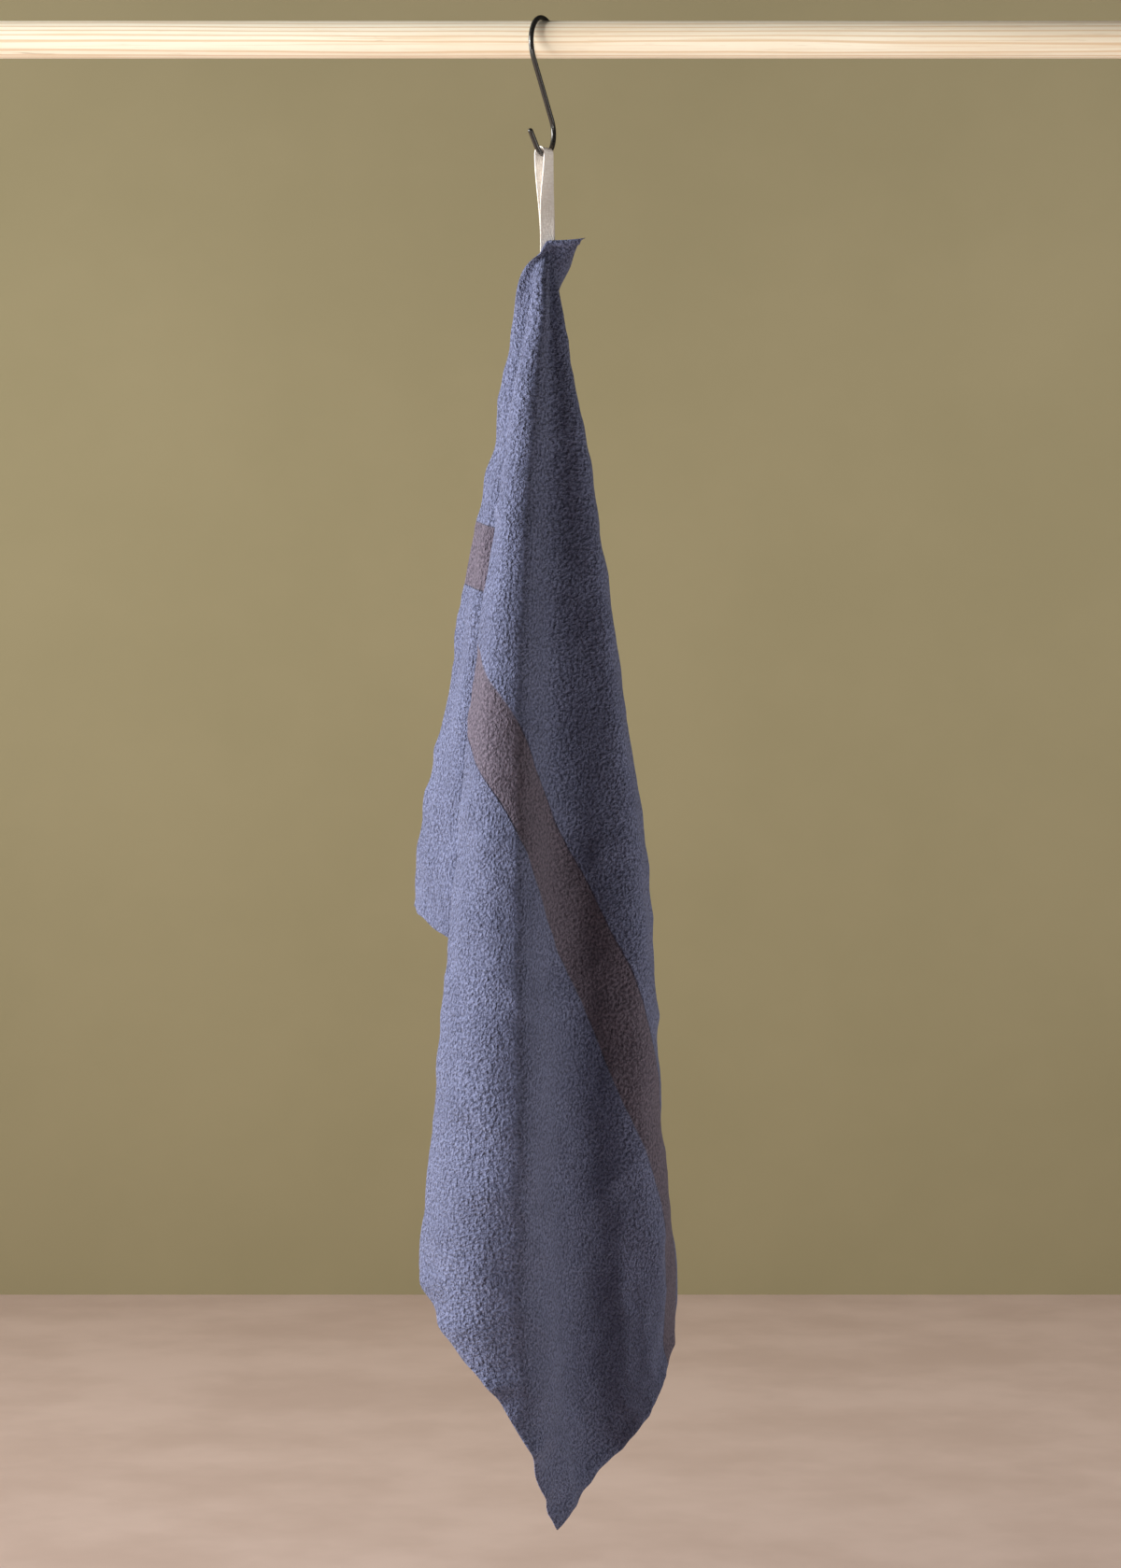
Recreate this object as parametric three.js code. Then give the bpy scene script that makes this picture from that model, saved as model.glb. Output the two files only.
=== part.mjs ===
import * as THREE from "three";

// Millimetres. X runs along the rail, Y goes away from the viewer and Z is up.
// The origin is on the rail's axis, midway along it.

const RAIL_DIAMETER = 25;
const RAIL_LENGTH = 840;
const RAIL_BEVEL = 1;
const RAIL_SIDES = 48;

const SEAT_GAP = 0.3;

const WIRE_DIAMETER = 3.5;
const WIRE_SIDES = 12;
const HOOK_SIDE = -11.7;
const HOOK_TURN = 64;
const HOOK_DROP = 77.8;
const UPPER_BEND = 18.5;
const LOWER_BEND = 16;
const UPPER_END_ANGLE = -8;
const LOWER_END_ANGLE = -134;
const TIP_LENGTH = 11.5;
const BEND_STEP = 9;
const DOME_ANGLES = [30, 60, 80];

const TAPE_WIDTH = 10;
const TAPE_THICK = 1;
const TAPE_ALONG_WIRE = 1;
const TAPE_SIDE_LOW = -8.8;
const TAPE_TURN_TOP = 52;
const TAPE_TURN_LOW = 0;
const TAPE_ROUND = 3.5;
const TAPE_RISE = 4.1;
const TAPE_SEWN = 7;
const TAPE_END_GAP = 0.5;
const TAPE_STEPS = 18;

const CLOTH_WIDTH = 500;
const CLOTH_LENGTH = 740;
const CLOTH_THICK = 1;
const SEWN_FROM_CORNER = 28;
const SEWN_SIDE = -8.9;
const SEWN_DROP = 136.6;
const ROWS = 30;
const ROW_GROWTH = 2;
const COLUMN_GAP = 2.6;
const TUCKED_FROM = 9;
const TUCKED_TO = 43;
const STRIP_COLUMNS = 3;
// Steps in which the length of cloth down a hanging line is added up, finer in the neck.
const NECK_STEP = 2;
const HANG_STEP = 8;

// The hanging lines, from the short edge round to the long edge. angle is in degrees on the flat cloth,
// side is in half widths of the bundle, back is in millimetres 450 mm below the sewn spot.
const FOLDS = [
  { angle: 0, side: -1.41, back: 68 },
  { angle: 5, side: -1.165, back: 31 },
  { angle: 7.3, side: -1, back: 17 },
  { angle: 9.5, side: -0.78, back: 8.5 },
  { angle: 12.6, side: -0.52, back: 2 },
  { angle: 18.9, side: 0.06, back: 15 },
  { angle: 24.3, side: 0.56, back: 33 },
  { angle: 26.6, side: 0.76, back: 25 },
  { angle: 29.2, side: 0.6, back: 8 },
  { angle: 35, side: -0.03, back: -9 },
  { angle: 39.6, side: -0.6, back: -12 },
  { angle: 42.3, side: -0.88, back: -5 },
  { angle: 44.1, side: -1, back: -13 },
  { angle: 46, side: -0.925, back: -27 },
  { angle: 47.3, side: -0.85, back: -35.5 },
  { angle: 48.8, side: -0.72, back: -45.2 },
  { angle: 50.1, side: -0.57, back: -51.4 },
  { angle: 51.5, side: -0.42, back: -54 },
  { angle: 53, side: -0.285, back: -54.4 },
  { angle: 54.2, side: -0.2, back: -51 },
  { angle: 55.7, side: -0.115, back: -43 },
  { angle: 57.1, side: -0.04, back: -33 },
  { angle: 59.3, side: 0.06, back: -17.5 },
  { angle: 60.9, side: 0.2, back: -8.5 },
  { angle: 62.5, side: 0.36, back: -4.5 },
  { angle: 65, side: 0.6, back: -5 },
  { angle: 67, side: 0.83, back: -1 },
  { angle: 69, side: 0.95, back: 11 },
  { angle: 72.5, side: 1, back: 38 },
  { angle: 75.5, side: 0.92, back: 60 },
  { angle: 80, side: 0.48, back: 77 },
  { angle: 84, side: 0, back: 71 },
  { angle: 87.5, side: -0.42, back: 67 },
  { angle: 90, side: -0.68, back: 75 },
];

// The bundle's half widths, its share of the table's back and the lean of its front ridge, level by level.
const LEVELS = [
  { depth: 0, left: 4, right: 3, reach: 0.05, lean: 0 },
  { depth: 50, left: 14.8, right: 10.8, reach: 0.15, lean: 0 },
  { depth: 100, left: 21.5, right: 19.5, reach: 0.25, lean: -1.5 },
  { depth: 170, left: 32.3, right: 32, reach: 0.38, lean: -4 },
  { depth: 300, left: 50, right: 51.4, reach: 0.66, lean: -5 },
  { depth: 450, left: 64, right: 71, reach: 1, lean: -2 },
  { depth: 600, left: 77.5, right: 78, reach: 1.25, lean: 4.5 },
  { depth: 700, left: 88.5, right: 86.5, reach: 1.36, lean: 3 },
  { depth: 760, left: 86, right: 84.5, reach: 1.4, lean: 5 },
  { depth: 820, left: 94, right: 104, reach: 1.44, lean: 5.5 },
  { depth: 900, left: 104, right: 140, reach: 1.48, lean: 7 },
];
const RIDGE = { from: 43.5, left: 52, right: 54, to: 63 };

// Run of the narrow strip between the sewn spot and the near corner, in shares of its width.
// Beside the sewn tape the strip starts out flat and only its edge takes the heading.
const EAR_FLAT = { side: 1, above: 9, below: 40 };
const EAR = [
  { down: 0, side: 0.93, back: -0.05, up: 0.07 },
  { down: 7, side: 0.62, back: 0.02, up: 0.15 },
  { down: 18, side: 0.34, back: 0.6, up: 0.14 },
  { down: 36, side: -0.05, back: 0.95, up: 0.1 },
  { down: 90, side: 0, back: 1, up: 0 },
  { down: 250, side: -0.4, back: 0.9, up: 0 },
  { down: 450, side: -0.7, back: 0.7, up: 0 },
  { down: 760, side: -0.8, back: 0.6, up: 0 },
];

// The two fold edges move along the cloth near the hem, the far corner of the flap flares out,
// and the lowest corner swings right and back.
const DRIFT = [
  { angle: 4.3, from: 28, peak: 46, to: 60, above: 420, below: 720 },
  { angle: 4.5, from: 63, peak: 75, to: 88, above: 620, below: 780 },
];
const FLARE = { side: 6, above: 300, below: 450, angle: 9 };
const SWING = { side: 7, back: 34, above: 570, below: 900 };
// Sections of the neck under the sewn spot, in millimetres. The first is flat and closes to the spot by a
// power of the depth, and from the last one the neck turns into the folded bundle.
const NECK_FAN = 0.9;
const NECK_LEVELS = [
  { depth: 8, side: "topSide" },
  { depth: 23, side: "midSide", back: "midBack" },
  { depth: 52, side: "lowSide", back: "lowBack" },
];
const NECK_BLEND = [95, 140];
const GATHERED = { above: 14, below: 34, near: 1, far: 5 };
const NECK = [
  { angle: 0, topSide: -5, midSide: -15.8, midBack: 7, lowSide: -24, lowBack: 14 },
  { angle: 6, topSide: -4.2, midSide: -14, midBack: 5, lowSide: -19.5, lowBack: 9.5 },
  { angle: 12.6, topSide: -3.4, midSide: -12, midBack: 3, lowSide: -14, lowBack: 6 },
  { angle: 20, topSide: -2.6, midSide: -10, midBack: 1, lowSide: -8.5, lowBack: 4.6 },
  { angle: 26.6, topSide: -1.9, midSide: -8.6, midBack: -1, lowSide: -4.4, lowBack: 2 },
  { angle: 35, topSide: -1.1, midSide: -7.6, midBack: -3, lowSide: -9.3, lowBack: -0.6 },
  { angle: 43.4, topSide: -0.4, midSide: -6, midBack: -4.6, lowSide: -13.6, lowBack: -2.6 },
  { angle: 48, topSide: 0, midSide: -4.3, midBack: -5.8, lowSide: -10, lowBack: -7.4 },
  { angle: 52, topSide: 0.4, midSide: -1.8, midBack: -6.2, lowSide: -2.4, lowBack: -10.6 },
  { angle: 56, topSide: 0.8, midSide: -0.2, midBack: -4, lowSide: 0.1, lowBack: -6.4 },
  { angle: 60, topSide: 1.2, midSide: 0.6, midBack: -0.6, lowSide: 1.2, lowBack: -0.6 },
  { angle: 65, topSide: 1.7, midSide: 1.8, midBack: 0.8, lowSide: 4.2, lowBack: 0 },
  { angle: 72.5, topSide: 2.4, midSide: 4, midBack: 0.8, lowSide: 10.6, lowBack: 2 },
  { angle: 80, topSide: 3, midSide: 5.4, midBack: 2.2, lowSide: 10.6, lowBack: 6 },
  { angle: 90, topSide: 3.6, midSide: 6.4, midBack: 4, lowSide: 6.5, lowBack: 8.5 },
];

const radians = THREE.MathUtils.degToRad;

function smooth(from, to, value) {
  const t = THREE.MathUtils.clamp((value - from) / (to - from), 0, 1);
  return t * t * (3 - 2 * t);
}

// Smooth curve through the rows of a table: one column read along another.
function along(rows, key, column, value) {
  const last = rows.length - 1;
  const x = THREE.MathUtils.clamp(value, rows[0][key], rows[last][key]);
  let i = 0;
  while (i < last - 1 && rows[i + 1][key] <= x) {
    i += 1;
  }
  const slope = (k) => {
    const a = rows[Math.max(k - 1, 0)];
    const b = rows[Math.min(k + 1, last)];
    return (b[column] - a[column]) / (b[key] - a[key]);
  };
  const a = rows[i];
  const b = rows[i + 1];
  const h = b[key] - a[key];
  const t = (x - a[key]) / h;
  const s = 1 - t;
  const ends = (1 + 2 * t) * s * s * a[column] + t * t * (3 - 2 * t) * b[column];
  return ends + h * t * s * (s * slope(i) - t * slope(i + 1));
}

// Side and back of the folded bundle on one hanging line.
function foldedSection(angle, depth) {
  let read = angle;
  for (const d of DRIFT) {
    const near = smooth(d.from, d.peak, angle) * (1 - smooth(d.peak, d.to, angle));
    read -= d.angle * near * smooth(d.above, d.below, depth);
  }
  const share = along(FOLDS, "angle", "side", read);
  const half = along(LEVELS, "depth", share < 0 ? "left" : "right", depth);
  const flare = FLARE.side * smooth(FLARE.above, FLARE.below, depth) * (1 - smooth(0, FLARE.angle, angle));
  const swing = smooth(SWING.above, SWING.below, depth);
  const reach = along(LEVELS, "depth", "reach", depth);
  const ridge = smooth(RIDGE.from, RIDGE.left, read) * (1 - smooth(RIDGE.right, RIDGE.to, read));
  const lean = along(LEVELS, "depth", "lean", depth) * ridge;
  return {
    depth,
    side: share * half - flare + SWING.side * swing + lean,
    back: along(FOLDS, "angle", "back", read) * reach + SWING.back * swing,
  };
}

function neckSection(angle, depth) {
  const rows = NECK_LEVELS.map((level) => ({
    depth: level.depth,
    side: along(NECK, "angle", level.side, angle),
    back: level.back ? along(NECK, "angle", level.back, angle) : 0,
  }));
  rows.push(...NECK_BLEND.map((below) => foldedSection(angle, below)));
  return {
    side: along(rows, "depth", "side", depth),
    back: along(rows, "depth", "back", depth),
  };
}

// Point of the cloth on one hanging line at a depth below the sewn spot.
function foldPoint(angle, depth) {
  const { side, back } = depth < NECK_BLEND[1] ? neckSection(angle, depth) : foldedSection(angle, depth);
  const near = Math.min(depth / NECK_LEVELS[0].depth, 1);
  return new THREE.Vector3(SEWN_SIDE + side * near ** NECK_FAN, back, -SEWN_DROP - depth);
}

// Points down one hanging line at given lengths of cloth from the sewn spot.
function hangingLine(angle, lengths) {
  const points = [];
  let depth = 0;
  let here = foldPoint(angle, 0);
  let run = 0;
  for (const length of lengths) {
    let step = depth < NECK_BLEND[0] ? NECK_STEP : HANG_STEP;
    let next = foldPoint(angle, depth + step);
    let gap = next.distanceTo(here);
    while (run + gap < length) {
      run += gap;
      depth += step;
      here = next;
      step = depth < NECK_BLEND[0] ? NECK_STEP : HANG_STEP;
      next = foldPoint(angle, depth + step);
      gap = next.distanceTo(here);
    }
    points.push(foldPoint(angle, depth + (step * (length - run)) / gap));
  }
  return points;
}

// Closed sheet about a surface of points and triangles. Its thickness is square to the cloth,
// and straight to the front where the cloth is gathered.
function thickSheet(points, triangles, thickness) {
  const surface = new THREE.BufferGeometry().setFromPoints(points);
  surface.setIndex(triangles.flat());
  surface.computeVertexNormals();
  const normal = surface.getAttribute("normal");
  const front = new THREE.Vector3(0, -1, 0);
  const count = points.length;
  const outward = points.map((p, i) => {
    const below = 1 - smooth(GATHERED.above, GATHERED.below, -SEWN_DROP - p.z);
    const gathered = below * (1 - smooth(GATHERED.near, GATHERED.far, p.y));
    return new THREE.Vector3().fromBufferAttribute(normal, i).lerp(front, gathered).normalize();
  });
  const offset = (side) => points.map((p, i) => p.clone().addScaledVector(outward[i], side));
  const both = [...offset(thickness / 2), ...offset(-thickness / 2)];
  const faces = [];
  const open = new Map();
  for (const [a, b, c] of triangles) {
    faces.push(a, b, c, a + count, c + count, b + count);
    for (const [p, q] of [[a, b], [b, c], [c, a]]) {
      if (open.has(q + "," + p)) {
        open.delete(q + "," + p);
      } else {
        open.set(p + "," + q, [p, q]);
      }
    }
  }
  for (const [p, q] of open.values()) {
    faces.push(q, p, p + count, q, p + count, q + count);
  }
  const solid = new THREE.BufferGeometry().setFromPoints(both);
  solid.setIndex(faces);
  return solid;
}

function clothGeometry() {
  const farCorner = THREE.MathUtils.radToDeg(Math.atan2(CLOTH_LENGTH, CLOTH_WIDTH - SEWN_FROM_CORNER));
  const angles = [farCorner];
  FOLDS.forEach((fold, i) => {
    angles.push(fold.angle);
    const tucked = fold.angle > TUCKED_FROM && fold.angle < TUCKED_TO;
    const next = FOLDS[i + 1] ?? fold;
    const count = tucked ? 1 : Math.ceil((next.angle - fold.angle) / COLUMN_GAP);
    for (let k = 1; k < count; k++) {
      angles.push(THREE.MathUtils.lerp(fold.angle, next.angle, k / count));
    }
  });
  angles.sort((a, b) => a - b);
  const shares = [];
  for (let r = 1; r <= ROWS; r++) {
    shares.push((r / ROWS) ** ROW_GROWTH);
  }
  const points = [foldPoint(0, 0)];
  const columns = angles.map((angle) => {
    const across = (CLOTH_WIDTH - SEWN_FROM_CORNER) / Math.max(Math.cos(radians(angle)), Number.EPSILON);
    const down = CLOTH_LENGTH / Math.max(Math.sin(radians(angle)), Number.EPSILON);
    const reach = Math.min(across, down);
    const column = [0];
    for (const p of hangingLine(angle, shares.map((s) => s * reach))) {
      column.push(points.push(p) - 1);
    }
    return column;
  });
  const edge = columns[columns.length - 1];
  for (let k = 1; k <= STRIP_COLUMNS; k++) {
    const width = (SEWN_FROM_CORNER * k) / STRIP_COLUMNS;
    columns.push(
      edge.map((index, r) => {
        const down = r === 0 ? 0 : shares[r - 1] * CLOTH_LENGTH;
        const heading = new THREE.Vector3(
          along(EAR, "down", "side", down),
          along(EAR, "down", "back", down),
          along(EAR, "down", "up", down),
        );
        const flat = (1 - smooth(EAR_FLAT.above, EAR_FLAT.below, down)) * (1 - k / STRIP_COLUMNS);
        heading.lerp(new THREE.Vector3(EAR_FLAT.side, 0, 0), flat);
        return points.push(points[index].clone().addScaledVector(heading, width)) - 1;
      }),
    );
  }
  const triangles = [];
  for (let c = 0; c < columns.length - 1; c++) {
    for (let r = 0; r < ROWS; r++) {
      const a = columns[c][r];
      const b = columns[c][r + 1];
      const d = columns[c + 1][r];
      const e = columns[c + 1][r + 1];
      triangles.push([a, b, e]);
      if (a !== d) {
        triangles.push([a, e, d]);
      }
    }
  }
  return thickSheet(points, triangles, CLOTH_THICK);
}

// Ring-by-ring solid: rings of equal point counts, closed at both ends.
function ringSolid(rings) {
  const n = rings[0].length;
  const points = rings.flat();
  const faces = [];
  for (let r = 0; r < rings.length - 1; r++) {
    for (let k = 0; k < n; k++) {
      const a = r * n + k;
      const b = r * n + ((k + 1) % n);
      faces.push(a, b, b + n, a, b + n, a + n);
    }
  }
  const last = (rings.length - 1) * n;
  for (let k = 1; k < n - 1; k++) {
    faces.push(0, k + 1, k, last, last + k, last + k + 1);
  }
  const solid = new THREE.BufferGeometry().setFromPoints(points);
  solid.setIndex(faces);
  return solid;
}

// Centre line of the hook in its own plane: along the plane and up.
function hookLine() {
  const top = RAIL_DIAMETER / 2 + SEAT_GAP + WIRE_DIAMETER / 2;
  const upper = new THREE.Vector2(0, top - UPPER_BEND);
  const lower = new THREE.Vector2(0, LOWER_BEND - HOOK_DROP);
  const tilt = THREE.MathUtils.radToDeg(Math.asin((UPPER_BEND + LOWER_BEND) / upper.distanceTo(lower)));
  const line = [];
  const bend = (centre, radius, from, to) => {
    const count = Math.round(Math.abs(to - from) / BEND_STEP);
    for (let i = 0; i <= count; i++) {
      const a = radians(THREE.MathUtils.lerp(from, to, i / count));
      line.push(new THREE.Vector2(Math.cos(a), Math.sin(a)).multiplyScalar(radius).add(centre));
    }
  };
  bend(upper, UPPER_BEND, UPPER_END_ANGLE, 180 + tilt);
  bend(lower, LOWER_BEND, tilt, LOWER_END_ANGLE);
  const end = line[line.length - 1];
  const out = radians(LOWER_END_ANGLE);
  line.push(new THREE.Vector2(Math.sin(out), -Math.cos(out)).multiplyScalar(TIP_LENGTH).add(end));
  return line;
}

function hookGeometry() {
  const line = hookLine();
  const radius = WIRE_DIAMETER / 2;
  const plane = new THREE.Vector3(Math.cos(radians(HOOK_TURN)), Math.sin(radians(HOOK_TURN)), 0);
  const up = new THREE.Vector3(0, 0, 1);
  const across = new THREE.Vector3().crossVectors(plane, up);
  const origin = new THREE.Vector3(HOOK_SIDE, 0, 0);
  const place = (p) => origin.clone().addScaledVector(plane, p.x).addScaledVector(up, p.y);
  const ring = (centre, heading, size) => {
    const middle = place(centre);
    const outward = new THREE.Vector3().addScaledVector(plane, -heading.y).addScaledVector(up, heading.x);
    const points = [];
    for (let k = 0; k < WIRE_SIDES; k++) {
      const a = (2 * Math.PI * k) / WIRE_SIDES;
      points.push(
        middle
          .clone()
          .addScaledVector(outward, size * Math.cos(a))
          .addScaledVector(across, size * Math.sin(a)),
      );
    }
    return points;
  };
  const headings = line.map((p, i) => {
    const before = line[Math.max(i - 1, 0)];
    const after = line[Math.min(i + 1, line.length - 1)];
    return after.clone().sub(before).normalize();
  });
  const rings = line.map((p, i) => ring(p, headings[i], radius));
  const first = line[0];
  const last = line[line.length - 1];
  for (const degrees of DOME_ANGLES) {
    const out = radius * Math.sin(radians(degrees));
    const size = radius * Math.cos(radians(degrees));
    const headBack = headings[0];
    const headOn = headings[headings.length - 1];
    rings.unshift(ring(first.clone().addScaledVector(headBack, -out), headBack, size));
    rings.push(ring(last.clone().addScaledVector(headOn, out), headOn, size));
  }
  return ringSolid(rings);
}

// Looped tape: up the front strand, over the wire and down the back strand, both ends sewn behind the cloth.
function tapeGeometry() {
  const top = TAPE_RISE - HOOK_DROP - TAPE_ROUND;
  const low = -SEWN_DROP - TAPE_SEWN;
  const sideTop = HOOK_SIDE + TAPE_ALONG_WIRE * Math.cos(radians(HOOK_TURN));
  const backTop = TAPE_ALONG_WIRE * Math.sin(radians(HOOK_TURN));
  const endBack = CLOTH_THICK / 2 + SEAT_GAP + TAPE_THICK + TAPE_END_GAP / 2;
  const round = TAPE_ROUND + TAPE_THICK / 2;
  const endApart = (TAPE_THICK + TAPE_END_GAP) / 2;
  const path = [];
  for (let i = 0; i <= TAPE_STEPS; i++) {
    path.push({ apart: 1, share: 1 - i / TAPE_STEPS, arch: 0 });
  }
  for (let i = 1; i < TAPE_STEPS / 2; i++) {
    const turned = (2 * Math.PI * i) / TAPE_STEPS;
    path.push({ apart: Math.cos(turned), share: 0, arch: Math.sin(turned) });
  }
  for (let i = 0; i <= TAPE_STEPS; i++) {
    path.push({ apart: -1, share: i / TAPE_STEPS, arch: 0 });
  }
  const sewn = (top + SEWN_DROP) / (top - low);
  const centres = path.map(({ apart, share, arch }) => {
    const hang = smooth(0, sewn, share);
    const turn = radians(THREE.MathUtils.lerp(TAPE_TURN_TOP, TAPE_TURN_LOW, hang));
    const middle = new THREE.Vector3(
      THREE.MathUtils.lerp(sideTop, TAPE_SIDE_LOW, hang),
      THREE.MathUtils.lerp(backTop, endBack, hang),
      THREE.MathUtils.lerp(top, low, share) + round * arch,
    );
    const front = new THREE.Vector3(Math.sin(turn), -Math.cos(turn), 0);
    const half = THREE.MathUtils.lerp(round, endApart, hang);
    return {
      point: middle.addScaledVector(front, half * apart),
      wide: new THREE.Vector3(Math.cos(turn), Math.sin(turn), 0),
    };
  });
  const rings = centres.map(({ point, wide }, i) => {
    const before = centres[Math.max(i - 1, 0)].point;
    const after = centres[Math.min(i + 1, centres.length - 1)].point;
    const heading = after.clone().sub(before).normalize();
    const face = new THREE.Vector3().crossVectors(wide, heading).normalize();
    const corner = (w, t) =>
      point
        .clone()
        .addScaledVector(wide, (w * TAPE_WIDTH) / 2)
        .addScaledVector(face, (t * TAPE_THICK) / 2);
    return [corner(-1, -1), corner(-1, 1), corner(1, 1), corner(1, -1)];
  });
  return ringSolid(rings);
}

function railGeometry() {
  const outline = new THREE.Shape().absarc(0, 0, RAIL_DIAMETER / 2 - RAIL_BEVEL, 0, 2 * Math.PI);
  const rail = new THREE.ExtrudeGeometry(outline, {
    depth: RAIL_LENGTH - 2 * RAIL_BEVEL,
    bevelEnabled: true,
    bevelSize: RAIL_BEVEL,
    bevelThickness: RAIL_BEVEL,
    bevelSegments: 1,
    curveSegments: RAIL_SIDES,
  });
  rail.translate(0, 0, RAIL_BEVEL - RAIL_LENGTH / 2);
  rail.rotateY(Math.PI / 2);
  return rail;
}

function piece(name, geometry, color, roughness) {
  const mesh = new THREE.Mesh(geometry, new THREE.MeshStandardMaterial({ color, roughness }));
  mesh.name = name;
  return mesh;
}

const part = new THREE.Group();
part.add(piece("rail", railGeometry(), 0xe3c79c, 0.6));
part.add(piece("hook", hookGeometry(), 0x1b1a18, 0.35));
part.add(piece("hanging_loop", tapeGeometry(), 0xece6dc, 0.9));
part.add(piece("towel", clothGeometry(), 0x7f84a8, 0.95));

export default part;
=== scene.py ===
import math

import bpy
import numpy as np
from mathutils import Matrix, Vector


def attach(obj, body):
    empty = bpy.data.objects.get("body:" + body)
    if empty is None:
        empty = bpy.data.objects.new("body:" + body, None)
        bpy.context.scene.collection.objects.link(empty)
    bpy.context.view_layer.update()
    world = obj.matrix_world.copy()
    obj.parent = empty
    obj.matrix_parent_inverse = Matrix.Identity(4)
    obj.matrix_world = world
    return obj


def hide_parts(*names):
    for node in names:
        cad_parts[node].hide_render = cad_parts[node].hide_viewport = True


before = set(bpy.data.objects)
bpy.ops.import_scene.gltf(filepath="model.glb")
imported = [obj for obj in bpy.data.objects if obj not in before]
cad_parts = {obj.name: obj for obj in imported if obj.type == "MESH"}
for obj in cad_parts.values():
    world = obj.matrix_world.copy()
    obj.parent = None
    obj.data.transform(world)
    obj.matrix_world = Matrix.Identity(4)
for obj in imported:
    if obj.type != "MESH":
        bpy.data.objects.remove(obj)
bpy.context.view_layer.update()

# Sizes are in millimetres, as in the part's source, and become metres when a mesh is made.
MM = 0.001

RAIL_DIAMETER = 25
RAIL_LENGTH = 840
RAIL_EDGE = 1.2
RAIL_SIDES = 96
RAIL_STEP = 12
RAIL_EDGE_STEPS = 6
# The turned rod is a little uneven: depth, length of a wave, then its run round the rod and the seed.
RAIL_WOBBLE = {"depth": 0.05, "length": 60, "around": 2, "start": 5, "seed": 21}

SEAT_GAP = 0.3
WIRE_DIAMETER = 3.5
WIRE_SIDES = 24
HOOK_SIDE = -11.7
HOOK_TURN = 64
HOOK_DROP = 77.8
UPPER_BEND = 18.5
LOWER_BEND = 16
UPPER_END_ANGLE = -8
LOWER_END_ANGLE = -134
TIP_LENGTH = 11.5
TIP_STEPS = (0.33, 0.67, 1)
BEND_STEP = 3
DOME_ANGLES = (25, 45, 62, 76, 86)

TAPE_WIDTH = 10
TAPE_THICK = 0.9
TAPE_ALONG_WIRE = 1
TAPE_SIDE_LOW = -8.8
TAPE_TURN_TOP = 52
TAPE_TURN_LOW = 0
TAPE_ROUND = 3.55
TAPE_RISE = 4.1
TAPE_SEWN = 7
TAPE_END_GAP = 0.5
TAPE_STEPS = 60
# Thicknesses of the solids, which set how far apart the sewn layers lie.
SOLID_TAPE_THICK = 1
SOLID_CLOTH_THICK = 1
# Half section of the tape, from its middle to its edge: share of the half width and of the thickness.
TAPE_SECTION = [(0, 1), (0.4, 1), (0.75, 1), (0.9, 1.15), (0.97, 1.0), (1.0, 0.45)]

CLOTH_WIDTH = 500
CLOTH_LENGTH = 740
CLOTH_THICK = 0.7
SEWN_FROM_CORNER = 28
SEWN_SIDE = -8.9
SEWN_DROP = 136.6
GRID_STEP = 2.95
BAND_FROM = 228
BAND_TO = 272

HEM_EXTRA = 0.8
HEM_FADE = (8, 9.6)
HEM_LINES = (0, 1.1, 2.8, 5.2, 7.2, 8.2, 9.2, 11)
STITCH_LINE = 7.7
STITCH_DEPTH = 0.3
STITCH_SPREAD = 0.8
EDGE_SHARE = 0.55
EDGE_ROUND = 1.2
# All four hems pucker and scallop by chance; each has its own seed.
PUCKER = {"reach": 24, "period": 19, "height": 1.5, "wander": 0.3, "wander_period": 60, "fade": 40}
SCALLOP = {"depth": 1.0, "period": 13}
EDGE_SEEDS = (31, 32, 33, 34)
WANDER_SEED = 50
SCALLOP_SEED = 20

# The near corner's hem is rolled to the front: extra thickness, then where it fades off and along the edge.
EAR_ROLL = 3.4
EAR_ROLL_WIDTH = (2.5, 7)
EAR_ROLL_LENGTH = (55, 90)
# Puckers drawn up by the stitches of the low left hem: place along the hem, height.
LOW_PUCKERS = [(541, 3), (573, 3.2), (617, 3.4), (668, 3), (708, 2)]
LOW_PUCKER = {"half": 8, "reach": 34, "lean": 0.35}
# The flap's low hem hangs out below the straight line between its corners.
SAG = {"middle": 52, "half": 30, "reach": 90, "drop": 7}
# The low corner is blunt: its two hems stand a little apart and its point is drawn up.
TIP = {"wide": 4, "turn": 14, "from": 15, "to": 70, "lift": 4, "lifted": 45}

# The hanging lines: angle on the flat cloth in degrees, side in half widths, back in millimetres.
FOLDS = [
    (0, -1.41, 68), (5, -1.165, 31), (7.3, -1, 17), (9.5, -0.78, 8.5), (12.6, -0.52, 2),
    (18.9, 0.06, 15), (24.3, 0.56, 33), (26.6, 0.76, 25), (29.2, 0.6, 8), (35, -0.03, -9),
    (39.6, -0.6, -12), (42.3, -0.88, -5), (44.1, -1, -13), (46, -0.925, -27), (47.3, -0.85, -35.5),
    (48.8, -0.72, -45.2), (50.1, -0.57, -51.4), (51.5, -0.42, -54), (53, -0.285, -54.4),
    (54.2, -0.2, -51), (55.7, -0.115, -43), (57.1, -0.04, -33), (59.3, 0.06, -17.5), (60.9, 0.2, -8.5),
    (62.5, 0.36, -4.5), (65, 0.6, -5), (67, 0.83, -1), (69, 0.95, 11), (72.5, 1, 38), (75.5, 0.92, 60),
    (80, 0.48, 77), (84, 0, 71), (87.5, -0.42, 67), (90, -0.68, 75),
]

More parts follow.
